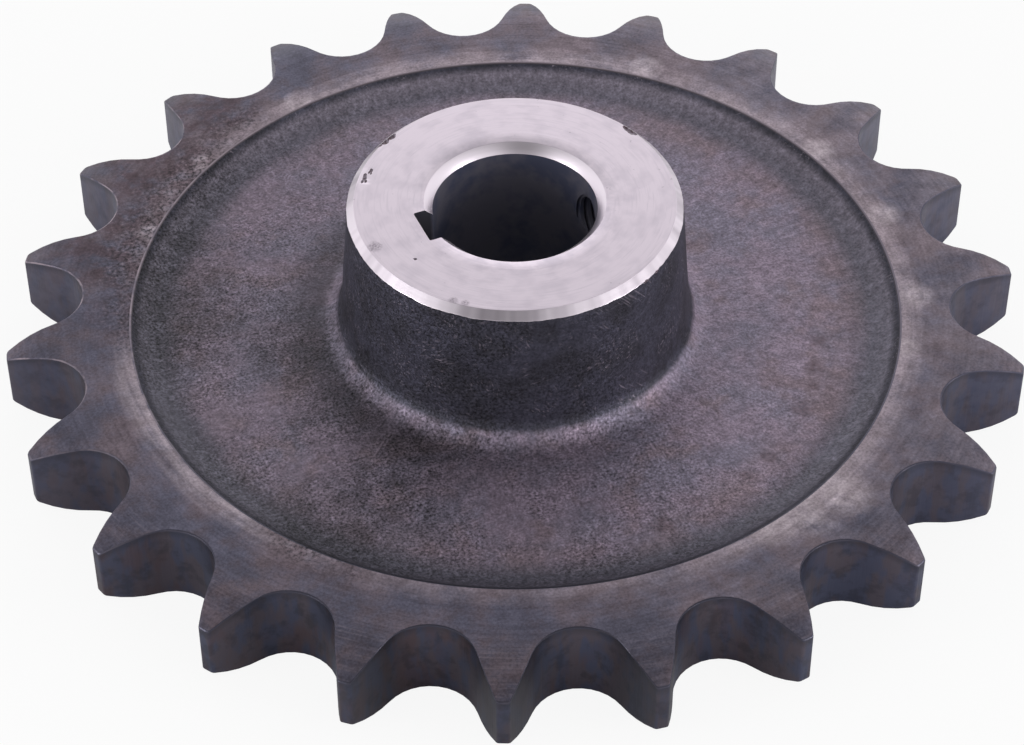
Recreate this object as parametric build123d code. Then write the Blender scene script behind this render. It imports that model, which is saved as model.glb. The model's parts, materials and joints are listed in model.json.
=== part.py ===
"""Roller-chain sprocket, one piece of forged steel: a toothed rim, a recessed web and a hub.

The frame is in millimetres. +Z runs along the bore, from the flat back face at Z = 0 to the
hub's end. The keyway opens towards -X, the set screw comes in along +X, and a tooth stands
over each of them.
"""

import os
from math import atan2, cos, degrees, hypot, pi, radians, sin, sqrt, tan

from build123d import *

os.makedirs("parts", exist_ok=True)

# The chain that runs on it: 1 inch pitch
CHAIN_PITCH = 25.4
ROLLER_DIAMETER = 15.88

# The teeth: a round seat for each roller, then two convex flanks that end in a narrow land
TOOTH_COUNT = 22
TOOTH_WIDTH = 16.0
TIP_DIAMETER = 189.8
SEAT_RADIUS = 8.65
SEATING_ANGLE = 129.0
FLANK_RADIUS = 51.0
TIP_ROUNDING = 0.6

# The sides of the teeth curve in towards their tips, which leads the chain's links on
SIDE_RELIEF_LENGTH = 10.0
SIDE_RELIEF_DEPTH = 2.7

# The recess that is forged into the front of the web
RECESS_DIAMETER = 143.4
RECESS_DEPTH = 3.0
RECESS_WALL_RUN = 6.5

# The hub keeps its forging draft, and is turned only at its end
HUB_DIAMETER = 61.3
HUB_LENGTH = 41.2
HUB_DRAFT = 4.5
HUB_CHAMFER = 1.35
HUB_BASE_FILLET = 4.7

# The bore, and the keyway for a parallel key
BORE_DIAMETER = 30.0
BORE_CHAMFER = 1.6
KEYWAY_WIDTH = 8.0
KEYWAY_DEPTH = 3.3
KEYWAY_CORNER = 0.3

# The set-screw hole at its tapping size, opposite the keyway
SCREW_HOLE_DIAMETER = 8.5
SCREW_HOLE_FROM_HUB_END = 9.8
SCREW_HOLE_CHAMFER = 0.8

# Sizes that follow
TOOTH_ANGLE = 360 / TOOTH_COUNT
PITCH_RADIUS = CHAIN_PITCH / (2 * sin(pi / TOOTH_COUNT))
ROOT_RADIUS = PITCH_RADIUS - ROLLER_DIAMETER / 2
TIP_RADIUS = TIP_DIAMETER / 2
RECESS_RADIUS = RECESS_DIAMETER / 2
HUB_RADIUS = HUB_DIAMETER / 2
BORE_RADIUS = BORE_DIAMETER / 2
WEB_FRONT = TOOTH_WIDTH - RECESS_DEPTH
HUB_EDGE = HUB_LENGTH - HUB_CHAMFER


def hub_radius_at(height):
    """The drafted hub's radius at a height above the back face."""
    return HUB_RADIUS + (HUB_EDGE - height) * tan(radians(HUB_DRAFT))


def blank_section():
    """Half of the blank's section: X is the radius, Y the height above the back face."""
    outward = (1, 0)
    relief_start = TIP_RADIUS - SIDE_RELIEF_LENGTH
    hub_foot = (hub_radius_at(WEB_FRONT), WEB_FRONT)
    bore_and_hub = Polyline(
        (BORE_RADIUS + BORE_CHAMFER, 0),
        (BORE_RADIUS, BORE_CHAMFER),
        (BORE_RADIUS, HUB_LENGTH - BORE_CHAMFER),
        (BORE_RADIUS + BORE_CHAMFER, HUB_LENGTH),
        (HUB_RADIUS - HUB_CHAMFER, HUB_LENGTH),
        (HUB_RADIUS, HUB_EDGE),
        hub_foot,
        (RECESS_RADIUS - RECESS_WALL_RUN, WEB_FRONT),
    )
    recess_wall = TangentArc(bore_and_hub @ 1, (RECESS_RADIUS, TOOTH_WIDTH), tangent=outward)
    rim_front = Line(recess_wall @ 1, (relief_start, TOOTH_WIDTH))
    tip_front = (TIP_RADIUS, TOOTH_WIDTH - SIDE_RELIEF_DEPTH)
    front_relief = TangentArc(rim_front @ 1, tip_front, tangent=outward)
    tip = Line(tip_front, (TIP_RADIUS, SIDE_RELIEF_DEPTH))
    back_relief = TangentArc((relief_start, 0), tip @ 1, tangent=outward)
    back_face = Line(back_relief @ 0, bore_and_hub @ 0)
    edges = [bore_and_hub, recess_wall, rim_front, front_relief, tip, back_relief, back_face]
    section = make_face(Curve() + edges)
    foot_corner = section.vertices().sort_by_distance(hub_foot)[0]
    return fillet(foot_corner, HUB_BASE_FILLET)


def tip_round_centre(flank_centre):
    """Centre of the arc that rounds a flank into the tip circle, from inside the tooth."""
    from_axis = TIP_RADIUS - TIP_ROUNDING
    from_flank = FLANK_RADIUS - TIP_ROUNDING
    x, y = flank_centre
    distance = hypot(x, y)
    along = (from_axis**2 - from_flank**2 + distance**2) / (2 * distance)
    across = sqrt(from_axis**2 - along**2)
    return ((along * x + across * y) / distance, (along * y - across * x) / distance)


def tooth_gap():
    """The space between two teeth, on the +X side: half of its outline, and the mirror image."""
    half_angle = SEATING_ANGLE / 2
    reach = SEAT_RADIUS + FLANK_RADIUS
    seat_centre = (ROOT_RADIUS + SEAT_RADIUS, 0)
    flank_centre = (
        seat_centre[0] - reach * cos(radians(half_angle)),
        reach * sin(radians(half_angle)),
    )
    round_centre = tip_round_centre(flank_centre)
    flank_end = degrees(
        atan2(round_centre[1] - flank_centre[1], round_centre[0] - flank_centre[0])
    )
    land_start = degrees(atan2(round_centre[1], round_centre[0]))
    seat = CenterArc(seat_centre, SEAT_RADIUS, 180 - half_angle, half_angle)
    flank = CenterArc(flank_centre, FLANK_RADIUS, -half_angle, flank_end + half_angle)
    tip_round = CenterArc(round_centre, TIP_ROUNDING, flank_end, land_start - flank_end)
    outer_corner = (tip_round @ 1) * (1 + SEAT_RADIUS / TIP_RADIUS)
    mouth_side = Line(tip_round @ 1, outer_corner)
    mouth = Line(outer_corner, (outer_corner.X, 0))
    half_outline = [seat, flank, tip_round, mouth_side, mouth]
    mirror_image = [mirror(edge, about=Plane.XZ) for edge in half_outline]
    outline = make_face(Curve() + half_outline + mirror_image)
    return extrude(outline, amount=TOOTH_WIDTH)


def keyway():
    """A slot along the whole bore, towards -X, with small rounds along its floor."""
    depth_from_axis = BORE_RADIUS + KEYWAY_DEPTH
    slot = Pos(-depth_from_axis / 2, 0) * Rectangle(depth_from_axis, KEYWAY_WIDTH)
    floor_corners = slot.vertices().group_by(Axis.X)[0]
    return extrude(fillet(floor_corners, KEYWAY_CORNER), amount=HUB_LENGTH)


def screw_hole():
    """The hole from the bore out through the hub along +X, with a chamfered mouth."""
    height = HUB_LENGTH - SCREW_HOLE_FROM_HUB_END
    radius = SCREW_HOLE_DIAMETER / 2
    mouth = hub_radius_at(height)
    outside = mouth + SCREW_HOLE_DIAMETER
    from_inside = (Align.CENTER, Align.CENTER, Align.MIN)
    hole = Cylinder(radius, outside, align=from_inside)
    flare = outside - mouth + SCREW_HOLE_CHAMFER
    chamfer = Cone(radius, radius + flare, flare, align=from_inside)
    tool = hole + Pos(0, 0, mouth - SCREW_HOLE_CHAMFER) * chamfer
    return Pos(0, 0, height) * Rot(0, 90, 0) * tool


def sprocket():
    """Turn the blank, cut the teeth, then the keyway and the set-screw hole."""
    body = revolve(Plane.XZ * blank_section(), Axis.Z)
    gap = tooth_gap()
    for index in range(TOOTH_COUNT):
        body -= Rot(0, 0, (index + 0.5) * TOOTH_ANGLE) * gap
    return body - keyway() - screw_hole()


export_step(sprocket(), "parts/sprocket.step")
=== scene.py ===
"""The looks of a forged roller-chain sprocket: its blank, teeth, hub and bore with rounded and
nicked edges, the tapped set-screw hole, the finish of every face, and a plain pale studio.

Lengths are in metres, in the part's own frame: +Z runs along the bore from the flat back face,
the keyway opens towards -X and the set screw comes in along +X.
"""

import json
from functools import partial, reduce
from math import atan2, ceil, cos, hypot, pi, radians, sin, sqrt, tan
from random import Random

import bpy
from bpy.props import FloatProperty, FloatVectorProperty, PointerProperty
from bpy.types import Operator, Panel, PropertyGroup
from mathutils import Matrix, Vector, noise


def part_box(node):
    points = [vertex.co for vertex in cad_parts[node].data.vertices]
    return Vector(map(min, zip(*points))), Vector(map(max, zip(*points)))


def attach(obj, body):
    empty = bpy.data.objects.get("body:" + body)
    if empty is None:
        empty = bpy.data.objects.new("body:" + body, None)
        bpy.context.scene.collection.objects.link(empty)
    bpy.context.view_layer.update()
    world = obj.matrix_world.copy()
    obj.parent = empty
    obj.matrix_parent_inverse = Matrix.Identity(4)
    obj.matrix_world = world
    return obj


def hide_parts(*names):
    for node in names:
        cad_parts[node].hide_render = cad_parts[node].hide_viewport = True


bl_info = {
    "name": "Chain sprocket",
    "version": (1, 0, 0),
    "blender": (4, 5, 0),
    "location": "3D View > Sidebar > Sprocket",
    "description": "Models and finishes a forged chain sprocket and sets it on a studio floor",
    "category": "Object",
}

MM = 0.001

# The frame, and what its record says of the bore, the screw hole and the chain's seats
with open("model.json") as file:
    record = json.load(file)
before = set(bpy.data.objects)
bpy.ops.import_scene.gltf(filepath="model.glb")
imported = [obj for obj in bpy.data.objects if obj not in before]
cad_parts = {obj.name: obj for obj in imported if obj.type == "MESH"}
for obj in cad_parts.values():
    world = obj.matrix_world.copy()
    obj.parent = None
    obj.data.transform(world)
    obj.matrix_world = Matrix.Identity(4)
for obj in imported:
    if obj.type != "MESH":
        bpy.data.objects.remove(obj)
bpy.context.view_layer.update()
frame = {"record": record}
NODE = "sprocket"
BODY = "root"
PIECE = "sprocket_body"
MOUNTS = {mount["name"]: mount for mount in frame["record"]["mounts"]}
BORE_RADIUS = MOUNTS["bore"]["dims"]["r_mm"] * MM
SCREW_RADIUS = MOUNTS["set_screw"]["dims"]["r_mm"] * MM
SCREW_HEIGHT = MOUNTS["set_screw"]["pos_m"][2]
TOOTH_COUNT = MOUNTS["chain_seat"]["dims"]["count"]
ROOT_RADIUS = hypot(*MOUNTS["chain_seat"]["pos_m"][:2])
SEAT_RADIUS = MOUNTS["chain_seat"]["dims"]["r_mm"] * MM
RIM_WIDTH = MOUNTS["chain_seat"]["dims"]["length_mm"] * MM
HUB_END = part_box(NODE)[1].z
TIP_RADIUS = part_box(NODE)[1].x
HALF_PITCH = pi / TOOTH_COUNT
CENTRE = (0, 0, 0)
BORE_AXIS = (0, 0, 1)

# Sides of the part, as azimuths in degrees round the bore from +X
BACK, LEFT, KEYWAY_SIDE, FRONT, RIGHT = 67, 157, 180, 247, -23

# How near a point counts as on a plane, as on a circle and as at an edge, and which are one point
ON_PLANE = 0.001 * MM
ON_CIRCLE = 0.01 * MM
AT_EDGE = 0.1 * MM
ONE_POINT = 0.005 * MM

# The finishes, in the order of the body's material slots
FINISH_NAMES = (
    "forged_steel", "turned_scaled_steel", "hobbed_scaled_steel", "turned_steel", "bored_steel",
    "tumbled_steel",
)
FORGED, TURNED_SCALED, HOBBED_SCALED, TURNED, BORED, TUMBLED = range(len(FINISH_NAMES))

# The noise that long marks are drawn with, and the stretch that makes noise swing from -1 to 1
DRAWN_NOISE = {"Scale": 1.0, "Detail": 2.0, "Roughness": 0.5}
SWING = {"low": 0.25, "high": 0.75, "least": -1.0}

# Marks that use has left, at azimuths in degrees and with lengths in millimetres. Nicks and pits:
# azimuth, distance from the axis, height of the surface there, half sizes along the radius and
# round the axis, and depth
NICKS = (
    (121.8, 29.7, 40.9, 1.4, 2.0, 0.55),
    (18.8, 29.4, 41.0, 1.6, 2.3, 0.60),
    (144.0, 28.2, 41.2, 0.6, 1.3, 0.22),
    (139.0, 27.6, 41.2, 0.4, 0.9, 0.16),
    (-161.4, 23.7, 41.2, 0.4, 0.4, 0.25),
    (-64.5, 31.0, 39.4, 0.6, 0.9, 0.35),
    (-58.0, 31.0, 39.4, 0.7, 1.2, 0.40),
    (-143.3, 71.6, 16.0, 0.8, 0.8, 0.35),
)
# A nick is chipped out by a few stones. The first bites at its middle by a fixed share of its
# size, and the rest by a share and at a place, along the radius and round the axis, drawn at
# random. A stone is a little wider than its chip, and as rough as a share of the chip's depth
CHIPS_PER_NICK = 4
FIRST_CHIP = 0.6
CHIP_SHARES = (0.3, 0.55)
CHIP_REACH = (0.7, 0.9)
CHIP_SEED = 3
STONE_WIDTH = 1.15
STONE_ROUGHNESS = 0.3

# A stain fades where the distance from its middle, as a share of its size, and a noise of 0 to 1
# add up to between these
STAIN_EDGE = (0.95, 1.55)

# Grey bruises on the hub's bright end: azimuth, distance from the axis, size
BRUISES = (
    (-176.8, 28.0, 1.6), (-135.5, 28.9, 1.1), (-131.0, 28.7, 0.9),
)

# Where the rim is rubbed nearly bright, in the same way
RUBS = (
    (-75, 73, 5), (-70, 74.5, 6), (-64, 76, 6),
    (-33, 73, 3), (-22, 75, 4), (-4, 75, 4),
    (13, 74, 4), (46, 75, 4), (103, 73, 4),
    (123, 73, 3), (141, 73, 3),
)

# Where the scale is thick and speckled, in the same way
STAINS = (
    (114, 83, 13), (128, 79, 17), (144, 74, 20),
    (158, 64, 17), (217, 64, 15), (221, 52, 15),
    (170, 42, 12), (195, 41, 12), (220, 42, 10),
)

# Small brown pocks in the web's scale, in the same way
POCKS = (
    (-31, 57, 2.0), (-38, 57, 2.2), (-43, 58, 1.5),
    (-49, 58, 2.6), (-63, 59, 2.0), (-69, 59, 1.5),
    (-80, 58, 1.7), (-88, 60, 2.4),
)

# The ways the scores on the hub's side run
SCORE_TURNS = ((0, radians(-25), radians(-30)), (0, radians(50), radians(15)))

# The world's light changes between these heights of a direction, 0 at level and 1 overhead, and
# its front shade comes in between these cosines of the angle from the shade's middle
LIGHT_BAND = (0.45, 0.95)
SHADE_BAND = (0.86, 0.985)

# The lamps: the angle round from the camera's side, the angle above level, the distance in
# metres, the width, and which setting gives the power
SOFTBOXES = {
    "left_softbox": (68, 12, 1.5, 0.6, "side_power"),
    "right_softbox": (-68, 12, 1.5, 0.6, "side_power"),
    "back_softbox": (180, 22, 1.4, 0.8, "back_power"),
}


def linear(code):
    """An sRGB hex colour as linear values."""
    channels = (int(code[start:start + 2], 16) / 255 for start in (1, 3, 5))
    return tuple(c / 12.92 if c <= 0.04045 else ((c + 0.055) / 1.055) ** 2.4 for c in channels)


def colour(name, description, code):
    """A colour property with an sRGB hex default."""
    return FloatVectorProperty(
        name=name, description=description, default=linear(code), size=3, min=0, max=1,
        subtype="COLOR",
    )


def number(name, description, default, **kind):
    """A number property with its limits, and its unit or subtype."""
    return FloatProperty(name=name, description=description, default=default, **kind)


def length(name, description, size):
    """A length property in metres, with its default in millimetres."""
    kind = {"precision": 5, "subtype": "DISTANCE", "unit": "LENGTH"}
    return number(name, description, size * MM, min=0, **kind)


def angle(name, description, degrees):
    """An angle property with its default in degrees."""
    return number(name, description, radians(degrees), subtype="ANGLE", unit="ROTATION")


def share(name, description, default):
    """A property for a share of 0 to 1."""
    return number(name, description, default, min=0, max=1, subtype="FACTOR")


def power(name, description, watts):
    """A property for a lamp's power."""
    return number(name, description, watts, min=0, unit="POWER")


# -------------------- settings


class FormSettings(PropertyGroup):
    """Sizes of the forging that the frame's record doesn't give."""

    seating_angle: angle("Seating angle", "How much of the seat's circle each roller lies in", 129)
    flank_radius: length("Flank radius", "Radius of a tooth's convex flanks", 51.0)
    tip_rounding: length("Tip rounding", "Radius between a flank and the tip land", 0.6)
    relief_length: length("Relief length", "How far in from the tips the sides curve", 10.0)
    relief_depth: length("Relief depth", "How far the sides have curved in at the tips", 2.7)
    recess_radius: length("Recess radius", "Radius of the recess's lip", 71.7)
    recess_depth: length("Recess depth", "From the rim's side down to the web", 3.0)
    recess_run: length("Recess wall run", "Width of the recess's curved wall", 6.5)
    hub_radius: length("Hub radius", "Radius of the hub below its end's chamfer", 30.65)
    hub_draft: angle("Hub draft", "Slope of the hub's forged side", 4.5)
    hub_chamfer: length("Hub chamfer", "Width of the chamfer round the hub's end", 1.35)
    foot_radius: length("Foot radius", "Radius of the hub's foot on the web", 4.7)
    bore_chamfer: length("Bore chamfer", "Width of the chamfers of the bore", 1.6)
    keyway_width: length("Keyway width", "Width of the keyway", 8.0)
    keyway_depth: length("Keyway depth", "Depth of the keyway past the bore", 3.3)
    keyway_corner: length("Keyway corner", "Radius along the keyway's floor", 0.3)
    mouth_chamfer: length("Screw hole chamfer", "Chamfer of the set-screw hole", 0.8)
    thread_pitch: length("Thread pitch", "From one turn of the thread to the next", 1.5)
    thread_radius: length("Thread radius", "From the hole's axis to the groove's floor", 5.0)


class SurfaceSettings(PropertyGroup):
    """Rounded edges, and the unevenness of the forged faces."""

    edge_round: length("Edge round", "Width of the round along the teeth and the recess", 0.28)
    turned_round: length("Turned round", "Width of the round along the turned edges", 0.04)
    ragged_end: length("Ragged end", "How far the hub end's chamfer runs down unevenly", 0.09)
    sharp_angle: angle("Sharp angle", "Edges that turn more than this are rounded", 28)
    smooth_angle: angle("Smooth angle", "Faces that turn less than this are shaded as one", 30)
    lump_size: length("Lump size", "Size of the lumps in the forged faces", 7.0)
    lump_height: length("Lump height", "From the hollows of the forged faces to their lumps", 0.3)


class FinishSettings(PropertyGroup):
    """Colours of the finishes."""

    scale_cool: colour("Cool scale", "Blue-grey of the heat scale", "#7c788a")
    scale_warm: colour("Warm scale", "Brown-purple of the heat scale", "#908293")
    scale_rust: colour("Rusty scale", "Brown patches in the scale", "#86757e")
    scale_wall: colour("Scale on the wall", "Slate grey of the recess's curved wall", "#6a6876")
    # The pale grains colour also paints light on the recess's wall at the back
    scale_pale_and_lit: colour("Pale grains", "Paler grains and rubbed places in the scale", "#a99dab")
    # The dark specks colour also paints shade: on the left side, round the hub's foot, under and
    # inside the lip, on the flanks in front and in the keyway
    dark_specks_and_shade: colour("Dark specks", "Nearly black specks in the scale", "#2d2b2f")
    hub_side: colour("Hub side", "Charcoal of the hub's as-forged side", "#454451")
    rim_cool: colour("Cool rim", "Blue-grey of the turned rim and the teeth", "#605e6e")
    rim_warm: colour("Warm rim", "Brown-purple of the turned rim", "#746871")
    rim_dark: colour("Blotted rim", "Dark blots on the sides of the teeth", "#545260")
    # The rubbed rim colour also paints light on the rim's right side, and highlights along the lip
    # at the back and on the edges to the left
    rim_pale_and_highlight: colour("Rubbed rim", "Where handling has rubbed the rim paler", "#aa9ca5")
    rim_worn: colour("Worn rim", "Where the rim is worn nearly bright", "#c3b6be")
    flank_cool: colour("Cool flank", "Blue-grey of the cut tooth flanks", "#54576c")
    flank_warm: colour("Warm flank", "Purple-grey of the cut tooth flanks", "#5f5862")
    flank_brown: colour("Brown flank", "Brown heat tint in some of the tooth gaps", "#625053")
    # The dark flank colour also paints shade along the top of each flank and on the flanks and
    # edges in front
    flank_dark_and_shade: colour("Dark flank", "Where the scale on a flank is thickest", "#33333b")
    maroon: colour("Maroon stain", "Red-brown stains on the rim and pocks in the web", "#5c4c53")
    bright: colour("Bright steel", "Freshly turned steel", "#e6dae6")
    bright_dull: colour("Smeared steel", "Where the turned steel is smeared", "#cac0cd")
    # The chamfered steel colour is a painted highlight on the chamfers
    chamfer_highlight: colour("Chamfered steel", "The smoother chamfers of the turned steel", "#eee4ee")
    bore_steel: colour("Bored steel", "The bore's wall", "#6d6b78")
    edge_steel: colour("Rounded edge", "Edges rubbed through the scale", "#8b818d")


class StageSettings(PropertyGroup):
    """Floor, lights and camera."""

    floor_colour: colour("Floor", "Colour of the floor", "#f6f6f7")
    floor_lift: share("Floor lift", "How much of the floor the camera sees as plain white", 0.9)
    low_light: number("Low light", "Strength of the world near the floor", 1.0, min=0)
    top_light: number("Top light", "Strength of the world overhead", 0.35, min=0)
    shade_turn: angle("Shade turn", "From the camera's turn to the middle of the front shade", 14)
    front_light: share("Front light", "Share of the world's light left behind the camera", 0.33)
    side_power: power("Side softboxes", "Power of each", 8.0)
    back_power: power("Back softbox", "Its power", 0.9)
    camera_turn: angle("Camera turn", "From +Y towards +X, the way the camera looks", 23.115)
    camera_drop: angle("Camera drop", "Angle that the camera looks down by", 44.157)
    camera_roll: angle("Camera roll", "Angle that the camera is turned about its own view", -0.235)
    camera_distance: length("Camera distance", "From the camera to its target", 571.1)
    camera_target: FloatVectorProperty(
        name="Camera target", description="The point that the camera looks at",
        default=(-8.03 * MM, -17.08 * MM, 16.0 * MM), size=3, subtype="TRANSLATION", unit="LENGTH",
    )
    lens: number("Lens", "Focal length in millimetres", 109.9, subtype="DISTANCE_CAMERA")


# -------------------- mesh helpers


def select_only(piece):
    """Select one object and nothing else, and make it active."""
    bpy.ops.object.select_all(action="DESELECT")
    piece.select_set(True)
    bpy.context.view_layer.objects.active = piece


def edit_all(piece, mode="VERT"):
    """Open a piece in edit mode with its whole mesh selected."""
    select_only(piece)
    bpy.ops.object.mode_set(mode="EDIT")
    bpy.ops.mesh.select_mode(type=mode)
    bpy.ops.mesh.select_all(action="SELECT")


def edit_faces(piece, chosen):
    """Open a piece in edit mode with only the faces selected that are chosen."""
    edit_all(piece, "FACE")
    bpy.ops.mesh.select_all(action="DESELECT")
    close_edit()
    for face in piece.data.polygons:
        face.select = chosen(face)
    bpy.ops.object.mode_set(mode="EDIT")


def edit_sharp_edges(piece, sharpness, chosen):
    """Open a piece in edit mode with only the sharp edges selected whose two ends are chosen."""
    edit_all(piece, "EDGE")
    bpy.ops.mesh.select_all(action="DESELECT")
    bpy.ops.mesh.edges_select_sharp(sharpness=sharpness)
    close_edit()
    # A face that is selected would select all of its edges again
    piece.data.polygons.foreach_set("select", [False] * len(piece.data.polygons))
    places = [vertex.co for vertex in piece.data.vertices]
    for edge in piece.data.edges:
        edge.select = edge.select and chosen(*(places[index] for index in edge.vertices))
    bpy.ops.object.mode_set(mode="EDIT")


def close_edit():
    """Back to object mode."""
    bpy.ops.object.mode_set(mode="OBJECT")


def apply_place(piece):
    """Move the object's place, turn and scale into its mesh."""
    select_only(piece)
    bpy.ops.object.transform_apply(location=True, rotation=True, scale=True)


def add_primitive(add, **settings):
    """Add a primitive with nothing else selected, and move its place into its mesh."""
    bpy.ops.object.select_all(action="DESELECT")
    add(**settings)
    piece = bpy.context.active_object
    apply_place(piece)
    return piece


def apply_modifier(piece, kind, **settings):
    """Add a modifier with its settings and apply it."""
    select_only(piece)
    modifier = piece.modifiers.new(kind.title(), kind)
    for name, value in settings.items():
        setattr(modifier, name, value)
    bpy.ops.object.modifier_apply(modifier=modifier.name)


def join(piece, others):
    """Join other objects into a piece."""
    select_only(piece)
    for other in others:
        other.select_set(True)
    bpy.ops.object.join()


def merge_and_face_out(piece):
    """Merge what lies in the same place, and turn the faces outwards."""
    edit_all(piece)
    bpy.ops.mesh.remove_doubles(threshold=ONE_POINT)
    bpy.ops.mesh.delete_loose()
    bpy.ops.mesh.select_all(action="SELECT")
    bpy.ops.mesh.normals_make_consistent(inside=False)
    close_edit()


def cut(piece, cutter, finish):
    """Take a closed cutter out of a piece, which leaves faces of one finish, and delete it."""
    cutter.data.materials.append(piece.data.materials[finish])
    apply_modifier(
        piece, "BOOLEAN", object=cutter, operation="DIFFERENCE", solver="EXACT",
        material_mode="TRANSFER",
    )
    bpy.data.objects.remove(cutter)
    merge_and_face_out(piece)


def from_axis(place):
    """Distance of a point from the bore's axis."""
    return hypot(place.x, place.y)


# -------------------- drawing lines


def start_line(x, z):
    """A new piece of one point in the XZ plane, left open to draw on from."""
    line = add_primitive(bpy.ops.mesh.primitive_plane_add, size=MM, location=(x, 0, z))
    edit_all(line)
    bpy.ops.mesh.merge(type="CENTER")
    return line


def run(x, z, steps):
    """Draw on by a straight run in the XZ plane, in equal steps."""
    for _ in range(steps):
        step = {"value": (x / steps, 0, z / steps)}
        bpy.ops.mesh.extrude_vertices_move(TRANSFORM_OT_translate=step)


def sweep(centre, axis, turn, steps):
    """Draw on round an axis through a centre: a point's arc, or a line's surface.

    Spin turns clockwise about its axis, so the angle changes sign.
    """
    bpy.ops.mesh.spin(steps=steps, angle=-turn, center=centre, axis=axis)


# -------------------- the forging


def half_gap_line(forms):
    """Half of a tooth gap's outline in the XY plane, from the seat's lowest point over the flank
    and the rounded tip to the middle of the next tooth. Its steps are counted for the inner ring.
    """
    half_seat = forms.seating_angle / 2
    reach = SEAT_RADIUS + forms.flank_radius
    seat = Vector((ROOT_RADIUS + SEAT_RADIUS, 0, 0))
    flank = seat + reach * Vector((-cos(half_seat), sin(half_seat), 0))
    # The tip's round touches the flank from inside the tooth, and the tip circle
    to_axis = TIP_RADIUS - forms.tip_rounding
    to_flank = forms.flank_radius - forms.tip_rounding
    along = (to_axis**2 - to_flank**2 + flank.length_squared) / (2 * flank.length)
    across = sqrt(to_axis**2 - along**2)
    outward = flank.normalized()
    tip = along * outward + across * Vector((outward.y, -outward.x, 0))
    off_flank = tip - flank
    flank_end = atan2(off_flank.y, off_flank.x)
    land_start = atan2(tip.y, tip.x)
    arcs = (
        (seat, -half_seat, 6), (flank, flank_end + half_seat, 4),
        (tip, land_start - flank_end, 3), (Vector(), HALF_PITCH - land_start, 1),
    )
    line = start_line(ROOT_RADIUS, 0)
    for centre, turn, steps in arcs:
        sweep(centre, BORE_AXIS, turn, steps)
    close_edit()
    return line, sum(steps for centre, turn, steps in arcs)


def half_tooth(forms, ring_radius):
    """Half of a tooth and half of a gap, from a ring inside the teeth out to their outline."""
    teeth, steps = half_gap_line(forms)
    ring = start_line(ring_radius, 0)
    sweep(CENTRE, BORE_AXIS, HALF_PITCH, steps)
    close_edit()
    join(teeth, [ring])
    edit_all(teeth)
    bpy.ops.mesh.bridge_edge_loops(number_cuts=8, interpolation="LINEAR")
    bpy.ops.mesh.select_all(action="SELECT")
    bpy.ops.mesh.extrude_region_move(TRANSFORM_OT_translate={"value": (0, 0, RIM_WIDTH)})
    close_edit()
    # Open it towards its neighbours and the ring, where extrude has put walls
    far_side = Vector((sin(HALF_PITCH), -cos(HALF_PITCH), 0))
    edit_faces(teeth, lambda face: abs(face.normal.z) < 0.5 and (
        abs(face.center.y) < ON_PLANE or abs(face.center @ far_side) < ON_PLANE
        or from_axis(face.center) < ring_radius + ON_CIRCLE
    ))
    bpy.ops.mesh.delete(type="FACE")
    close_edit()
    # The sides of the teeth curve in towards the tips along an arc
    start = TIP_RADIUS - forms.relief_length
    arc = (forms.relief_length**2 + forms.relief_depth**2) / (2 * forms.relief_depth)
    for vertex in teeth.data.vertices:
        past = max(0, from_axis(vertex.co) - start)
        fall = arc - sqrt(arc**2 - past**2)
        vertex.co.z = RIM_WIDTH - fall if vertex.co.z > RIM_WIDTH / 2 else fall
    return teeth, steps


def blank_line(forms, ring_radius):
    """The blank's section, from the ring inside the teeth over the recess, the web, the hub and
    the bore to the back face.
    """
    web = RIM_WIDTH - forms.recess_depth
    wall_arc = (forms.recess_run**2 + forms.recess_depth**2) / (2 * forms.recess_depth)
    wall_turn = atan2(forms.recess_run, wall_arc - forms.recess_depth)
    web_edge = forms.recess_radius - forms.recess_run
    chamfer_foot = HUB_END - forms.hub_chamfer
    foot_height = web + forms.foot_radius
    hub_at_foot = forms.hub_radius + (chamfer_foot - foot_height) * tan(forms.hub_draft)
    foot = Vector((hub_at_foot + forms.foot_radius / cos(forms.hub_draft), 0, foot_height))
    hub_start = foot - forms.foot_radius * Vector((cos(forms.hub_draft), 0, sin(forms.hub_draft)))
    bore_edge = BORE_RADIUS + forms.bore_chamfer
    end_edge = forms.hub_radius - forms.hub_chamfer
    towards_y = (0, -1, 0)
    line = start_line(ring_radius, RIM_WIDTH)
    run(forms.recess_radius - ring_radius, 0, 2)
    sweep((web_edge, 0, web + wall_arc), towards_y, -wall_turn, 8)
    run(foot.x - web_edge, 0, 16)
    sweep(foot, towards_y, forms.hub_draft - pi / 2, 8)
    run(forms.hub_radius - hub_start.x, chamfer_foot - hub_start.z, 14)
    run(-forms.hub_chamfer, forms.hub_chamfer, 1)
    run(bore_edge - end_edge, 0, 5)
    run(-forms.bore_chamfer, -forms.bore_chamfer, 1)
    run(0, 2 * forms.bore_chamfer - HUB_END, 5)
    run(forms.bore_chamfer, -forms.bore_chamfer, 1)
    run(ring_radius - bore_edge, 0, 12)
    return line


def finish_of(face, forms):
    """Which finish a face of the forging has, from where it lies and how it was made."""
    radius = from_axis(face.center)
    is_upright = abs(face.normal.z) < 0.05
    is_under = face.normal.z < -0.5
    if radius < BORE_RADIUS + ON_CIRCLE:
        return BORED
    if radius < BORE_RADIUS + forms.bore_chamfer or face.center.z > HUB_END - forms.hub_chamfer:
        return TURNED
    if is_upright and radius > ROOT_RADIUS - forms.tip_rounding:
        return HOBBED_SCALED
    if is_under or radius > forms.recess_radius:
        return TURNED_SCALED
    return FORGED


def round_edges(body, sharpness, inside, width, finish):
    """Round the sharp edges that lie where `inside` says."""
    edit_sharp_edges(body, sharpness, lambda *ends: all(inside(place) for place in ends))
    bpy.ops.mesh.bevel(
        offset=width, segments=2, affect="EDGES", clamp_overlap=False, loop_slide=True,
        material=finish,
    )
    close_edit()


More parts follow.
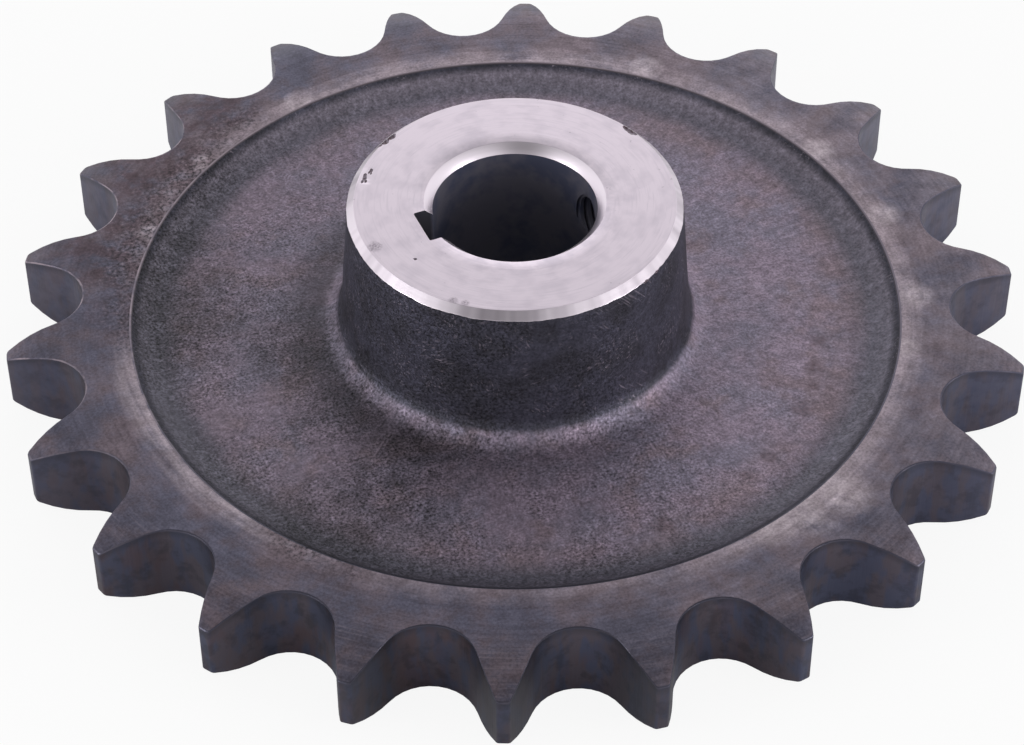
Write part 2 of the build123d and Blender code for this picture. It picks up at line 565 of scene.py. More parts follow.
class SPROCKET_OT_forging(Operator):
    """Draw half of a tooth's share of the forging, mirror it and turn it into the whole ring"""

    bl_idname = "sprocket.forging"
    bl_label = "Forging"

    def execute(self, context):
        forms = context.scene.sprocket_forms
        surface = context.scene.sprocket_surface
        ring_radius = (forms.recess_radius + ROOT_RADIUS) / 2
        body, steps = half_tooth(forms, ring_radius)
        blank = blank_line(forms, ring_radius)
        bpy.ops.mesh.select_all(action="SELECT")
        sweep(CENTRE, BORE_AXIS, HALF_PITCH, steps)
        close_edit()
        join(body, [blank])
        body.name = PIECE
        apply_modifier(body, "MIRROR", use_axis=(False, True, False), use_mirror_merge=False)
        edit_all(body)
        bpy.ops.mesh.spin(
            steps=TOOTH_COUNT - 1, dupli=True, angle=2 * pi - 2 * HALF_PITCH, center=CENTRE,
            axis=BORE_AXIS,
        )
        close_edit()
        body.rotation_euler.z = HALF_PITCH
        apply_place(body)
        merge_and_face_out(body)
        for name in FINISH_NAMES:
            body.data.materials.append(bpy.data.materials.new(name))
        for face in body.data.polygons:
            face.material_index = finish_of(face, forms)
        lip = forms.recess_radius - AT_EDGE
        end = HUB_END - forms.hub_chamfer - AT_EDGE
        bore = BORE_RADIUS + forms.bore_chamfer + AT_EDGE
        round_edges(
            body, surface.sharp_angle, lambda place: from_axis(place) > lip, surface.edge_round,
            TUMBLED,
        )
        round_edges(
            body, surface.sharp_angle, lambda place: place.z > end or from_axis(place) < bore,
            surface.turned_round, TURNED,
        )
        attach(body, BODY)
        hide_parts(NODE)
        return {"FINISHED"}


def run_end_down(body, chamfer_foot, most):
    """Let the turned chamfer run down the uneven forged side by a little more here and less
    there, out and down along its own cone.
    """
    for vertex in body.data.vertices:
        if abs(vertex.co.z - chamfer_foot) < AT_EDGE and from_axis(vertex.co) > 2 * BORE_RADIUS:
            coarse = noise.noise(vertex.co / (3.5 * MM))
            fine = noise.noise(vertex.co / (0.9 * MM))
            down = most * (coarse + 0.6 * fine)
            outward = Vector((vertex.co.x, vertex.co.y, 0)).normalized()
            vertex.co += down * (outward - Vector(BORE_AXIS))


class SPROCKET_OT_lumps(Operator):
    """Give the web and the hub's side the slight lumps that the forging dies leave"""

    bl_idname = "sprocket.lumps"
    bl_label = "Forging lumps"

    def execute(self, context):
        forms = context.scene.sprocket_forms
        surface = context.scene.sprocket_surface
        body = bpy.data.objects[PIECE]
        group = body.vertex_groups.new(name="forged")
        chamfer_foot = HUB_END - forms.hub_chamfer
        # The lumps fade out up the recess's wall, and in the last 2 mm under the hub's chamfer
        for vertex in body.data.vertices:
            radius = from_axis(vertex.co)
            over_bore = radius - BORE_RADIUS - 2 * forms.bore_chamfer
            under_lip = (forms.recess_radius - radius) / forms.recess_run
            under_end = (chamfer_foot - vertex.co.z) / (2 * MM)
            over_back = vertex.co.z - RIM_WIDTH / 2
            if over_bore > 0 and over_back > 0:
                weight = min(1, max(0, under_lip), max(0, under_end))
                group.add([vertex.index], weight, "REPLACE")
        run_end_down(body, chamfer_foot, surface.ragged_end)
        clouds = bpy.data.textures.new("forging_lumps", "CLOUDS")
        clouds.noise_scale = surface.lump_size
        clouds.noise_depth = 2
        apply_modifier(
            body, "DISPLACE", texture=clouds, texture_coords="LOCAL", direction="NORMAL",
            strength=surface.lump_height, mid_level=0.5, vertex_group=group.name,
        )
        body.vertex_groups.clear()
        return {"FINISHED"}


# -------------------- cuts


def keyway_cutter(forms):
    """A broach's slot through the whole bore, towards -X, rounded along its floor."""
    floor = BORE_RADIUS + forms.keyway_depth
    slot = add_primitive(
        bpy.ops.mesh.primitive_cube_add, size=1, location=(-floor / 2, 0, HUB_END / 2),
        scale=(floor, forms.keyway_width, 2 * HUB_END),
    )
    on_floor = AT_EDGE - floor
    edit_sharp_edges(
        slot, pi / 4,
        lambda first, second: max(first.x, second.x) < on_floor and first.y == second.y,
    )
    bpy.ops.mesh.bevel(offset=forms.keyway_corner, segments=3, affect="EDGES")
    close_edit()
    return slot


def screw_cutter(forms):
    """A drill along +X with a countersink at the hub's side, drawn as a line and turned round."""
    mouth = forms.hub_radius + (HUB_END - forms.hub_chamfer - SCREW_HEIGHT) * tan(forms.hub_draft)
    flare = 3 * forms.mouth_chamfer
    drill = start_line(BORE_RADIUS / 2, 0)
    run(0, SCREW_RADIUS, 1)
    run(mouth - forms.mouth_chamfer - BORE_RADIUS / 2, 0, 1)
    run(flare, flare, 1)
    run(0, -SCREW_RADIUS - flare, 1)
    bpy.ops.mesh.select_all(action="SELECT")
    sweep(CENTRE, (1, 0, 0), 2 * pi, 48)
    bpy.ops.mesh.select_all(action="SELECT")
    bpy.ops.transform.translate(value=(0, 0, SCREW_HEIGHT))
    close_edit()
    merge_and_face_out(drill)
    return drill


def thread_cutter(forms):
    """A tap: a three-sided bar wound into a screw from the bore out past the hub's side."""
    # The bar is a little narrower than the pitch, which leaves a crest between two turns
    bar_radius = 0.95 * forms.thread_pitch / sqrt(3)
    start = BORE_RADIUS - 2 * forms.thread_pitch
    turns = ceil((forms.hub_radius - start) / forms.thread_pitch) + 1
    tap = add_primitive(
        bpy.ops.mesh.primitive_circle_add, vertices=3, radius=bar_radius, rotation=(pi / 2, 0, 0),
        location=(start, 0, forms.thread_radius - bar_radius),
    )
    apply_modifier(
        tap, "SCREW", axis="X", angle=2 * pi, screw_offset=forms.thread_pitch, iterations=turns,
        steps=24, render_steps=24,
    )
    edit_all(tap)
    bpy.ops.mesh.fill_holes(sides=3)
    bpy.ops.mesh.select_all(action="SELECT")
    bpy.ops.transform.translate(value=(0, 0, SCREW_HEIGHT))
    close_edit()
    merge_and_face_out(tap)
    return tap


class SPROCKET_OT_holes(Operator):
    """Broach the keyway, drill the set-screw hole and tap it"""

    bl_idname = "sprocket.holes"
    bl_label = "Keyway and screw hole"

    def execute(self, context):
        forms = context.scene.sprocket_forms
        body = bpy.data.objects[PIECE]
        for cutter in (keyway_cutter, screw_cutter, thread_cutter):
            cut(body, cutter(forms), BORED)
        return {"FINISHED"}


def nick_stone(nick, seed, shift, bite):
    """A rough stone that bites one chip of a nick: a share of its size, shifted by shares of its
    size along the radius and round the axis.
    """
    azimuth, *sizes = nick
    radius, height, across, around, deep = (size * MM for size in sizes)
    turn = radians(azimuth)
    outward = Vector((cos(turn), sin(turn), 0))
    along = Vector((-sin(turn), cos(turn), 0))
    place = (radius + shift[0] * across) * outward + shift[1] * around * along
    # The lowest quarter of the stone goes in, so that its rim is rough and its bowl is shallow
    place.z = height + bite * deep
    stone = add_primitive(
        bpy.ops.mesh.primitive_ico_sphere_add, subdivisions=3, radius=bite, location=place,
        rotation=(0, 0, turn), scale=(STONE_WIDTH * across, STONE_WIDTH * around, 2 * deep),
    )
    edit_all(stone)
    roughness = STONE_ROUGHNESS * bite * deep
    bpy.ops.transform.vertex_random(offset=roughness, normal=1.0, seed=seed)
    close_edit()
    return stone


class SPROCKET_OT_nicks(Operator):
    """Knock the nicks and pits into the hub's end and the rim, and shade the whole body"""

    bl_idname = "sprocket.nicks"
    bl_label = "Nicks"

    def execute(self, context):
        body = bpy.data.objects[PIECE]
        dice = Random(CHIP_SEED)
        for chip in range(CHIPS_PER_NICK):
            stones = []
            for seed, nick in enumerate(NICKS):
                shift = [dice.uniform(-reach, reach) for reach in CHIP_REACH] if chip else (0, 0)
                bite = dice.uniform(*CHIP_SHARES) if chip else FIRST_CHIP
                stones.append(nick_stone(nick, seed, shift, bite))
            join(stones[0], stones[1:])
            cut(body, stones[0], TUMBLED)
        select_only(body)
        bpy.ops.object.shade_smooth_by_angle(angle=context.scene.sprocket_surface.smooth_angle)
        apply_modifier(body, "WEIGHTED_NORMAL", keep_sharp=True, weight=100)
        return {"FINISHED"}


# -------------------- finishes


def add_node(tree, kind, *values, named=None, **settings):
    """Add a shader node and hand back its first output.

    `settings` are the node's own. `values` fill its inputs in order and `named` fills them by
    name: an output is linked, and anything else is set.
    """
    made = tree.nodes.new("ShaderNode" + kind)
    for name, value in settings.items():
        setattr(made, name, value)
    sockets = [socket for socket in made.inputs if socket.enabled]
    pairs = list(zip(sockets, values))
    for name, value in (named or {}).items():
        pairs.append((next(socket for socket in sockets if socket.name == name), value))
    for socket, value in pairs:
        if isinstance(value, bpy.types.NodeSocket):
            tree.links.new(value, socket)
        elif socket.type == "RGBA" and len(value) == 3:
            socket.default_value = (*value, 1)
        else:
            socket.default_value = value
    return next((socket for socket in made.outputs if socket.enabled), None)


def start_nodes(owner):
    """Empty the nodes of a material or a world, and hand back the maker of new ones."""
    owner.use_nodes = True
    owner.node_tree.nodes.clear()
    return partial(add_node, owner.node_tree)


class Finish:
    """A finish in the making: the nodes of its material, its colour so far, and masks of 0 to 1
    that say where a coat of colour goes. Sides are azimuths in degrees, and the sizes of patterns
    are in millimetres.
    """

    def __init__(self, slot, tint):
        self.new = start_nodes(bpy.data.materials[FINISH_NAMES[slot]])
        self.base = tint
        self.place = self.new("TexCoord").node.outputs["Object"]
        self.flat = self.new("VectorMath", self.place, (1, 1, 0), operation="MULTIPLY")
        self.outward = self.new("VectorMath", self.flat, operation="NORMALIZE")
        self.radius = self.new("VectorMath", self.flat, operation="LENGTH").node.outputs["Value"]
        self.x, self.y, self.height = self.new("SeparateXYZ", self.place).node.outputs

    def out(self, edge, start, end, most=1.0, least=0.0):
        """By the distance from the axis: nothing at `start` past an edge, and whole at `end`."""
        start, end = edge + start * MM, edge + end * MM
        return self.new("MapRange", self.radius, start, end, least, most)

    def up(self, level, start, end, most=1.0):
        """By the height over the back face, from `start` to `end` above a level."""
        return self.new("MapRange", self.height, level + start * MM, level + end * MM, 0.0, most)

    def towards(self, side, low, high):
        """Towards one side of the axis: the cosine of the angle from there, low..high."""
        there = (cos(radians(side)), sin(radians(side)), 0)
        near = self.new("VectorMath", self.outward, there, operation="DOT_PRODUCT")
        return self.new("MapRange", near.node.outputs["Value"], low, high)

    def grain(self, size, low, high, most=1.0, least=0.0, detail=3.0):
        """Noise with features of a real size, stretched from low..high to least..most."""
        noise_settings = {"Scale": 1 / (size * MM), "Detail": detail, "Roughness": 0.6}
        rough = self.new("TexNoise", self.place, named=noise_settings)
        return self.new("MapRange", rough, low, high, least, most)

    def marks(self, sizes, low, high, most=1.0, turn=(0, 0, 0)):
        """Noise drawn out to three sizes and turned: scratches, hob lines and runs."""
        sizes = [size * MM for size in sizes]
        turned = self.new("Mapping", self.place, CENTRE, turn, sizes, vector_type="TEXTURE")
        drawn = self.new("TexNoise", turned, named=DRAWN_NOISE)
        return self.new("MapRange", drawn, low, high, 0.0, most)

    def turning(self, along, across, low, high, most=1.0, least=0.0):
        """Lathe marks round the axis, `along` long and `across` wide, with no seam anywhere."""
        stretch = {"Scale": ROOT_RADIUS / (along * MM)}
        turns = self.new("VectorMath", self.outward, named=stretch, operation="SCALE")
        steps = self.new("Math", self.radius, across * MM, operation="DIVIDE")
        steps = self.new("CombineXYZ", 0.0, 0.0, steps)
        turned = self.new("VectorMath", turns, steps, operation="ADD")
        drawn = self.new("TexNoise", turned, named=DRAWN_NOISE)
        return self.new("MapRange", drawn, low, high, least, most)

    def stain(self, stains, ragged_size):
        """Round stains at their azimuths and distances from the axis, with ragged edges."""
        noise_settings = {"Scale": 1 / (ragged_size * MM), "Detail": 5.0, "Roughness": 0.7}
        ragged = self.new("TexNoise", self.place, named=noise_settings)
        reaches = []
        for azimuth, radius, size in stains:
            turn = radians(azimuth)
            centre = (radius * MM * cos(turn), radius * MM * sin(turn), 0)
            away = self.new("VectorMath", self.flat, centre, operation="DISTANCE")
            away = away.node.outputs["Value"]
            reaches.append(self.new("Math", away, size * MM, operation="DIVIDE"))
        reach = reduce(partial(self.new, "Math", operation="MINIMUM"), reaches)
        shifted = self.new("Math", reach, ragged, operation="ADD")
        return self.new("MapRange", shifted, *STAIN_EDGE, 1.0, 0.0)

    def all_of(self, *masks):
        """Where all of several masks are."""
        return reduce(partial(self.new, "Math", operation="MULTIPLY"), masks)

    def coat(self, tint, *masks):
        """Lay a coat of colour over what is there, where all of its masks are."""
        self.base = self.new("Mix", self.all_of(*masks), self.base, tint, data_type="RGBA")

    def mottle(self, most, swing):
        """Make the colour lighter and darker by a noise of -1 to 1, by a share of `most`."""
        light = self.new("Math", swing, most, 1.0, operation="MULTIPLY_ADD")
        self.base = self.new("Mix", 1.0, self.base, light, data_type="RGBA", blend_type="MULTIPLY")

    def close(self, metallic, roughness, height, depth):
        """Add the shader and its output, with bumps as deep as `depth`."""
        bumps = self.new("Bump", named={"Height": height, "Distance": depth * MM, "Strength": 1.0})
        looks = {"Metallic": metallic, "Roughness": roughness, "Normal": bumps}
        shader = self.new("BsdfPrincipled", named={"Base Color": self.base, **looks})
        self.new("OutputMaterial", shader)


def forged_steel(forms, tints):
    """Drop-forged steel under its heat scale: dull mottled purple-grey, grainy as cast sand, with
    rusty clouds and dark speckled stains. The hub's side is charcoal down to its foot.
    """
    steel = Finish(FORGED, tints.scale_warm)
    edge = forms.recess_radius
    web = RIM_WIDTH - forms.recess_depth
    steel.coat(tints.scale_cool, steel.grain(13, 0.42, 0.60, most=0.7))
    steel.coat(tints.scale_rust, steel.grain(8, 0.54, 0.68, most=0.7))
    # The colours lie in rings: rust, slate up the recess's wall, and painted shade round the hub's
    # foot
    steel.coat(
        tints.scale_rust, steel.out(edge, -17, -11),
        steel.grain(10, 0.36, 0.60, most=0.8), steel.towards(RIGHT, -1.8, 0.6),
    )
    # Painted shade over the left side of the web and the hub
    steel.coat(tints.dark_specks_and_shade, steel.towards(LEFT + 18, -0.3, 4.5))
    steel.coat(tints.scale_wall, steel.out(edge, -9, -5, most=0.9))
    # Painted shade on the web round the hub's foot, strongest on the left
    steel.coat(
        tints.dark_specks_and_shade, steel.out(edge, -26, -32, most=0.5),
        steel.up(web, 0.5, 0.1), steel.towards(LEFT + 8, -0.6, 0.9),
    )
    # Darker in the wall's corner, most towards the left front, and a little darker far to the
    # right
    steel.coat(
        tints.dark_specks_and_shade, steel.out(edge, -10, -6, most=0.36),
        steel.towards(LEFT + 38, -0.7, 0.8),
    )
    steel.coat(
        tints.dark_specks_and_shade, steel.out(edge, -14, -6, most=0.14),
        steel.towards(RIGHT, 0.2, 0.9),
    )
    steel.coat(tints.maroon, steel.stain(POCKS, 1.5), steel.grain(1, 0.30, 0.60, most=0.6))
    # Painted light on the wall at the back, and painted shade under its lip in front
    steel.coat(tints.scale_pale_and_lit, steel.out(edge, -6, -1, most=0.4), steel.towards(BACK, -0.3, 0.9))
    steel.coat(
        tints.dark_specks_and_shade, steel.out(edge, -1.6, -0.5, most=0.75),
        steel.towards(FRONT, -1.3, 0.6),
    )
    hub_side = steel.up(web, 1.5, 2.5)
    steel.coat(tints.hub_side, hub_side)
    steel.coat(tints.dark_specks_and_shade, hub_side, steel.grain(8, 0.44, 0.60, most=0.5, detail=5.0))
    stains = steel.stain(STAINS, 6)
    coarse = steel.all_of(
        steel.towards(FRONT - 45, -0.5, 0.6), steel.grain(15, 0.38, 0.56, most=0.8),
    )
    rough = steel.new("Math", stains, coarse, operation="MAXIMUM")
    steel.coat(tints.dark_specks_and_shade, stains, steel.grain(5, 0.30, 0.60, most=0.5))
    steel.coat(tints.dark_specks_and_shade, rough, steel.grain(0.9, 0.55, 0.67, most=0.7))
    # Forged grain is about 0.3 mm, drawn coarser so that it shows, and strongest where the scale
    # is rough. On the web it flows round the axis
    grit = steel.new("MapRange", rough, 0.0, 1.0, 0.45, 1.1)
    steel.mottle(grit, steel.grain(0.5, **SWING))
    steel.mottle(0.3, steel.grain(1.4, **SWING))
    on_web = steel.new("MapRange", hub_side, 0.0, 1.0, 0.18, 0.0)
    steel.mottle(on_web, steel.turning(1.2, 2.5, **SWING))
    # Scores on the hub's side run two ways, each in its own patches, so that they don't cross
    for turn, low, high in zip(SCORE_TURNS, (0.54, 0.46), (0.62, 0.38)):
        scores = steel.marks((8, 0.4, 0.4), 0.57, 0.72, most=0.45, turn=turn)
        patches = steel.grain(9, low, high)
        steel.coat(tints.scale_pale_and_lit, hub_side, scores, patches)
    lumps = steel.grain(3, 0.2, 0.8, most=1.2)
    pits = steel.all_of(grit, steel.grain(0.5, 0.3, 0.7))
    steel.close(0.65, 0.5, steel.new("Math", lumps, pits, operation="ADD"), 0.07)


def turned_scaled_steel(forms, tints):
    """Turned steel that was heated afterwards: smooth purple-grey, blotched blue-grey towards each
    tooth, rubbed pale along the recess, and painted lighter on the right side.
    """
    steel = Finish(TURNED_SCALED, tints.rim_warm)
    edge = forms.recess_radius
    steel.coat(tints.rim_cool, steel.grain(10, 0.40, 0.60, detail=5.0))
    # A dark blot on each tooth
    azimuth = steel.new("Math", steel.y, steel.x, operation="ARCTAN2")
    turned = steel.new("Math", azimuth, float(TOOTH_COUNT), operation="MULTIPLY")
    on_tooth = steel.new("MapRange", steel.new("Math", turned, operation="COSINE"), -0.3, 0.9)
    steel.coat(
        tints.rim_dark, on_tooth, steel.out(edge, 5, 11, most=0.75),
        steel.grain(5, 0.34, 0.60, detail=6.0),
    )
    # Painted light on the right side, and rubbed beside the recess, in patches drawn out round the
    # axis
    steel.coat(
        tints.rim_pale_and_highlight, steel.towards(RIGHT + 13, -0.3, 0.9), steel.grain(7, 0.3, 0.6, most=0.25),
    )
    patches = steel.new(
        "Math", steel.turning(20, 1.6, 0.30, 0.70, most=0.35),
        steel.grain(8, 0.30, 0.60, detail=6.0), operation="ADD",
    )
    rubbed = steel.all_of(
        steel.out(edge, 6, 1),
        steel.out(edge, -8, -1, least=0.35), patches,
        steel.towards(BACK, -2.2, 0.0), steel.towards(LEFT + 1, 1.01, 0.96),
    )
    steel.coat(tints.rim_pale_and_highlight, steel.new("MapRange", rubbed, 0.1, 1.0, 0.0, 0.8))
    # Streaks along the lip where hands hold it, and single places rubbed nearly bright
    handled = steel.new(
        "Math", steel.towards(LEFT + 33, 0.88, 0.97), steel.towards(RIGHT - 45, 0.95, 0.99),
        operation="MAXIMUM",
    )
    steel.coat(
        tints.rim_worn, steel.out(edge, 5, 2), handled,
        steel.turning(25, 1.2, 0.36, 0.64, most=0.45, least=0.05),
    )
    steel.coat(tints.rim_worn, steel.stain(RUBS, 3), steel.grain(3, 0.26, 0.60, most=0.7))
    # Lathe marks show faintly where the sides of the teeth are turned down
    steel.coat(
        tints.rim_pale_and_highlight, steel.out(TIP_RADIUS, -11, -9),
        steel.turning(8, 0.4, 0.50, 0.66, most=0.14), steel.towards(FRONT + 3, 0.2, 0.9),
    )
    # Stains are a red-brown wash with dark specks and pale glints
    stains = steel.stain(STAINS, 6)
    inside = steel.out(edge, 10, 3, least=0.2)
    steel.coat(tints.maroon, stains, steel.grain(4, 0.40, 0.56, most=0.75, detail=6.0))
    steel.coat(tints.dark_specks_and_shade, stains, inside, steel.grain(0.7, 0.46, 0.64, most=0.9))
    steel.coat(tints.rim_pale_and_highlight, stains, inside, steel.grain(0.7, 0.42, 0.28, most=0.5))
    steel.mottle(0.3, steel.grain(0.5, **SWING))
    steel.mottle(0.3, steel.grain(2.5, detail=5.0, **SWING))
    steel.mottle(0.14, steel.turning(12, 0.8, **SWING))
    steel.close(0.9, 0.42, steel.turning(30, 0.5, 0.3, 0.7), 0.012)


def hobbed_scaled_steel(forms, tints):
    """Tooth flanks cut by a hob and then heated: smooth blue-grey and purple runs down the width,
    brown in some gaps, painted shade where the flank rolls over its edge and in front, and painted
    light towards the back.
    """
    steel = Finish(HOBBED_SCALED, tints.flank_warm)
    steel.coat(tints.flank_cool, steel.marks((3, 3, 8), 0.44, 0.56))
    steel.coat(
        tints.flank_brown, steel.grain(22, 0.44, 0.56), steel.towards(FRONT - 42, -0.4, 0.8),
        steel.marks((2.2, 2.2, 7), 0.44, 0.60, most=0.6),
    )
    steel.coat(tints.flank_dark_and_shade, steel.grain(3, 0.50, 0.64, most=0.4))
    # Painted light: flanks are paler the more they are towards the back
    steel.coat(
        tints.scale_cool, steel.towards(BACK, -0.8, 1.1),
        steel.grain(4, 0.60, 0.40, least=0.45, detail=5.0),
    )
    steel.coat(
        tints.rim_cool, steel.out(TIP_RADIUS, -9, -2, most=0.3),
        steel.towards(BACK, -0.9, 0.0),
    )
    # The sides of the teeth fall away over the length of their relief
    start = TIP_RADIUS - forms.relief_length
    past = steel.new("MapRange", steel.radius, start, TIP_RADIUS)
    fall = steel.all_of(past, past, forms.relief_depth)
    down = steel.new("Math", RIM_WIDTH, steel.height, operation="SUBTRACT")
    from_top = steel.new("Math", down, fall, operation="SUBTRACT")
    # Painted shade along the top of each flank, where it rolls over its edge
    steel.coat(tints.flank_dark_and_shade, steel.new("MapRange", from_top, 2.0 * MM, 0.7 * MM, 0.0, 0.4))
    # Painted shade on the flanks towards the left front, and most of all at the tips in front
    steel.coat(tints.dark_specks_and_shade, steel.towards(LEFT + 28, 0.2, 3.6))
    steel.coat(
        tints.flank_dark_and_shade, steel.out(TIP_RADIUS, -12, -4, most=0.7),
        steel.out(TIP_RADIUS, -0.1, -0.5, least=0.5),
        steel.towards(FRONT + 3, 0.85, 0.98),
    )
    lines = steel.marks((0.5, 0.5, 20), 0.3, 0.7)
    steel.close(0.85, 0.42, lines, 0.015)


def turned_steel(forms, tints):
    """Freshly turned steel: nearly white, with faint lathe marks, smears and small bruises, and a
    painted highlight on its chamfers.
    """
    steel = Finish(TURNED, tints.bright)
    end_edge = forms.hub_radius - forms.hub_chamfer
    bore_edge = BORE_RADIUS + forms.bore_chamfer
    steel.coat(tints.bright_dull, steel.turning(14, 2.5, 0.46, 0.72, most=0.5))
    steel.coat(tints.bright_dull, steel.out(0, 22, 17.5), steel.grain(5, 0.48, 0.66, most=0.8))
    steel.coat(tints.bright_dull, steel.turning(20, 0.4, 0.52, 0.72, most=0.35))
    steel.coat(tints.edge_steel, steel.grain(1.6, 0.70, 0.76, most=0.5))
    steel.coat(
        tints.edge_steel, steel.stain(BRUISES, 0.5),
        steel.grain(0.4, 0.34, 0.62, most=0.8, least=0.1),
    )
    # The chamfers get a painted highlight, and the tool chattered across the one round the hub's
    # end
    chamfer = steel.out(end_edge, 0, 0.1)
    steel.coat(tints.chamfer_highlight, chamfer)
    steel.coat(tints.chamfer_highlight, steel.out(bore_edge, 0, -0.1))
    steel.coat(tints.edge_steel, chamfer, steel.turning(13, 60, 0.44, 0.66, most=0.5))
    steel.close(1.0, 0.3, steel.turning(80, 0.35, 0.3, 0.7), 0.004)


def bored_steel(forms, tints):
    """Bored and broached steel in the dark of the bore: grey, half dull with oil."""
    steel = Finish(BORED, tints.bore_steel)
    steel.coat(tints.flank_cool, steel.grain(6, 0.44, 0.62))
    # Painted shade down in the keyway
    steel.coat(
        tints.dark_specks_and_shade, steel.out(BORE_RADIUS, 0.1, 0.6, most=0.7),
        steel.towards(KEYWAY_SIDE, 0.5, 0.8),
    )
    rings = steel.marks((30, 30, 0.5), 0.3, 0.7)
    steel.close(0.35, 0.4, rings, 0.008)


def tumbled_steel(forms, tints):
    """Edges rounded by tumbling and handling, a little paler than the faces beside them, with
    painted highlights along the lip at the back and on the left, and painted shade in front.
    """
    steel = Finish(TUMBLED, tints.rim_cool)
    lip = steel.out(forms.recess_radius, 1.0, 0.6)
    # A painted highlight along the lip, strongest at the back
    steel.coat(tints.rim_pale_and_highlight, lip, steel.towards(BACK, -0.5, 1.6))
    steel.coat(tints.edge_steel, steel.grain(3, 0.50, 0.70, most=0.3))
    # A painted highlight on the edges towards the left
    steel.coat(
        tints.rim_pale_and_highlight, steel.towards(LEFT - 12, 0.5, 0.95), steel.grain(4, 0.40, 0.60, most=0.8),
    )
    # Painted shade on the edges in front, and on the lip's inner side
    steel.coat(tints.flank_dark_and_shade, steel.towards(FRONT, 0.1, 1.5))
    steel.coat(tints.dark_specks_and_shade, lip, steel.up(RIM_WIDTH, -0.05, -0.12, most=0.7))
    # Nicks in the hub's end show their rough, rusty floors
    nicks = steel.up(HUB_END, -3, -2)
    steel.coat(tints.edge_steel, nicks)
    steel.coat(tints.maroon, nicks, steel.grain(0.6, 0.42, 0.60))
    steel.close(0.9, 0.42, steel.grain(0.8, 0.3, 0.7), 0.03)


class SPROCKET_OT_finish(Operator):
    """Build the finish of every face"""

    bl_idname = "sprocket.finish"
    bl_label = "Finishes"

    def execute(self, context):
        for build in (
            forged_steel, turned_scaled_steel, hobbed_scaled_steel, turned_steel, bored_steel,
            tumbled_steel,
        ):
            build(context.scene.sprocket_forms, context.scene.sprocket_finish)
        return {"FINISHED"}


# -------------------- the stage


def aim(turn, drop):
    """The direction that lies `turn` from +Y towards +X, and `drop` below level."""
    return Vector((sin(turn) * cos(drop), cos(turn) * cos(drop), -sin(drop)))


def add_floor(settings):
    """A wide sheet of pale paper that keeps the object's shadow."""
    floor = add_primitive(bpy.ops.mesh.primitive_plane_add, size=8)
    floor.name = "floor"
    material = bpy.data.materials.new("floor_paper")
    new = start_nodes(material)
    seen = new("LightPath").node.outputs["Is Camera Ray"]
    lift = new("Math", seen, settings.floor_lift, operation="MULTIPLY")
    paper = new("BsdfDiffuse", settings.floor_colour)
    white = new("Emission", (1, 1, 1), 1.0)
    new("OutputMaterial", new("MixShader", lift, paper, white))
    floor.data.materials.append(material)


def add_world(settings):
    """White all round at the level of the floor, darker overhead, and shaded behind the camera."""
    world = bpy.data.worlds.new("studio")
    bpy.context.scene.world = world
    new = start_nodes(world)
    direction = new("TexCoord").node.outputs["Generated"]
    height = new("SeparateXYZ", direction).node.outputs["Z"]
    level = new("MapRange", height, *LIGHT_BAND, settings.low_light, settings.top_light)
    behind = -aim(settings.camera_turn + settings.shade_turn, settings.camera_drop)
    front = new("VectorMath", direction, behind, operation="DOT_PRODUCT").node.outputs["Value"]
    shade = new("MapRange", front, *SHADE_BAND, 1.0, settings.front_light)
    strength = new("Math", level, shade, operation="MULTIPLY")
    new("OutputWorld", new("Background", (1, 1, 1), strength))


def stand(tool, place, direction):
    """Stand a lamp or a camera at a place, to look along a direction."""
    holder = bpy.data.objects.new(tool.name, tool)
    bpy.context.scene.collection.objects.link(holder)
    turn = direction.to_track_quat("-Z", "Y").to_matrix().to_4x4()
    holder.matrix_world = Matrix.Translation(place) @ turn
    return holder


def add_softbox(name, direction, distance, size, watts):
    """A square lamp that shines on the object along a direction."""
    lamp = bpy.data.lights.new(name, "AREA")
    lamp.size = size
    lamp.energy = watts
    stand(lamp, -direction * distance, direction)


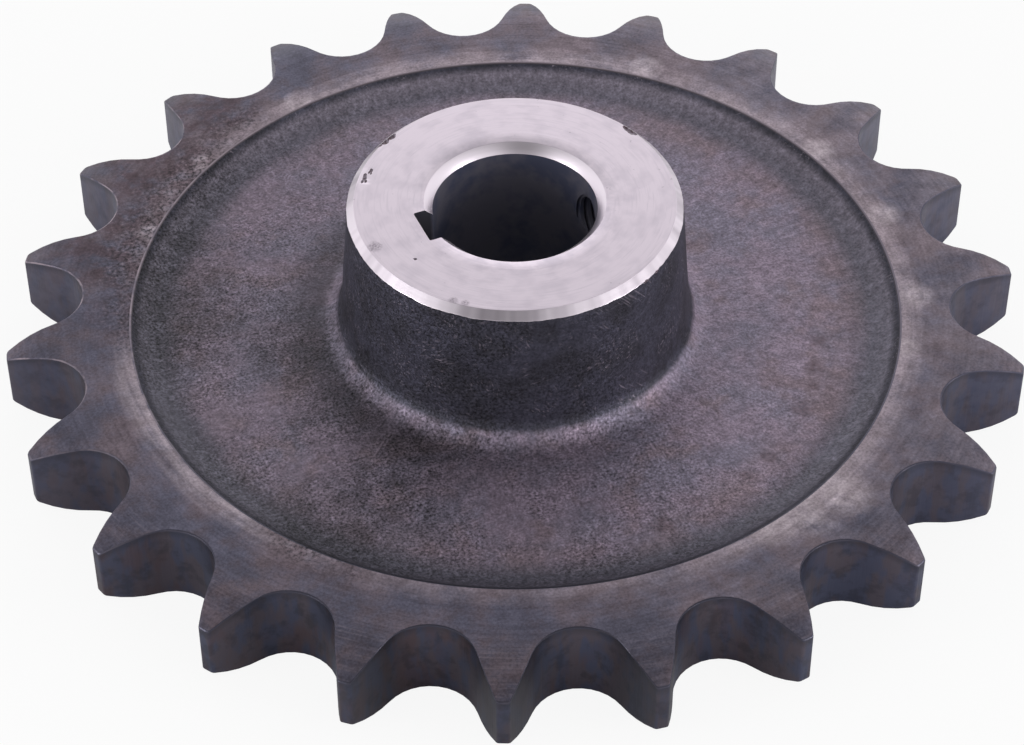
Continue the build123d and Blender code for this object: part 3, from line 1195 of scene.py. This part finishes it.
def add_camera(settings):
    """The camera, at its distance from its target."""
    forward = aim(settings.camera_turn, settings.camera_drop)
    camera = bpy.data.cameras.new("camera")
    camera.lens = settings.lens
    place = Vector(settings.camera_target) - forward * settings.camera_distance
    holder = stand(camera, place, forward)
    holder.matrix_world @= Matrix.Rotation(settings.camera_roll, 4, "Z")
    bpy.context.scene.camera = holder


class SPROCKET_OT_stage(Operator):
    """Lay the floor, hang the lights and stand the camera"""

    bl_idname = "sprocket.stage"
    bl_label = "Stage"

    def execute(self, context):
        settings = context.scene.sprocket_stage
        context.scene.view_settings.view_transform = "Standard"
        add_floor(settings)
        add_world(settings)
        for name, (turn, drop, distance, size, setting) in SOFTBOXES.items():
            direction = aim(settings.camera_turn + radians(turn), radians(drop))
            add_softbox(name, direction, distance, size, getattr(settings, setting))
        add_camera(settings)
        return {"FINISHED"}


# -------------------- panel and start

OPERATORS = (
    SPROCKET_OT_forging, SPROCKET_OT_lumps, SPROCKET_OT_holes, SPROCKET_OT_nicks,
    SPROCKET_OT_finish, SPROCKET_OT_stage,
)
SETTINGS = {
    "sprocket_forms": FormSettings,
    "sprocket_surface": SurfaceSettings,
    "sprocket_finish": FinishSettings,
    "sprocket_stage": StageSettings,
}


class SPROCKET_PT_panel(Panel):
    """The sprocket's operators, in the sidebar of the 3D view"""

    bl_idname = "SPROCKET_PT_panel"
    bl_label = "Chain sprocket"
    bl_space_type = "VIEW_3D"
    bl_region_type = "UI"
    bl_category = "Sprocket"

    def draw(self, context):
        for operator in OPERATORS:
            self.layout.operator(operator.bl_idname)


CLASSES = (*SETTINGS.values(), *OPERATORS, SPROCKET_PT_panel)


def register():
    for item in CLASSES:
        bpy.utils.register_class(item)
    for name, group in SETTINGS.items():
        setattr(bpy.types.Scene, name, PointerProperty(type=group))


def unregister():
    for name in SETTINGS:
        delattr(bpy.types.Scene, name)
    for item in reversed(CLASSES):
        bpy.utils.unregister_class(item)


def main():
    """Register the add-on and run its operators in order."""
    register()
    bpy.ops.sprocket.forging()
    bpy.ops.sprocket.lumps()
    bpy.ops.sprocket.holes()
    bpy.ops.sprocket.nicks()
    bpy.ops.sprocket.finish()
    bpy.ops.sprocket.stage()


if __name__ == "__main__":
    main()
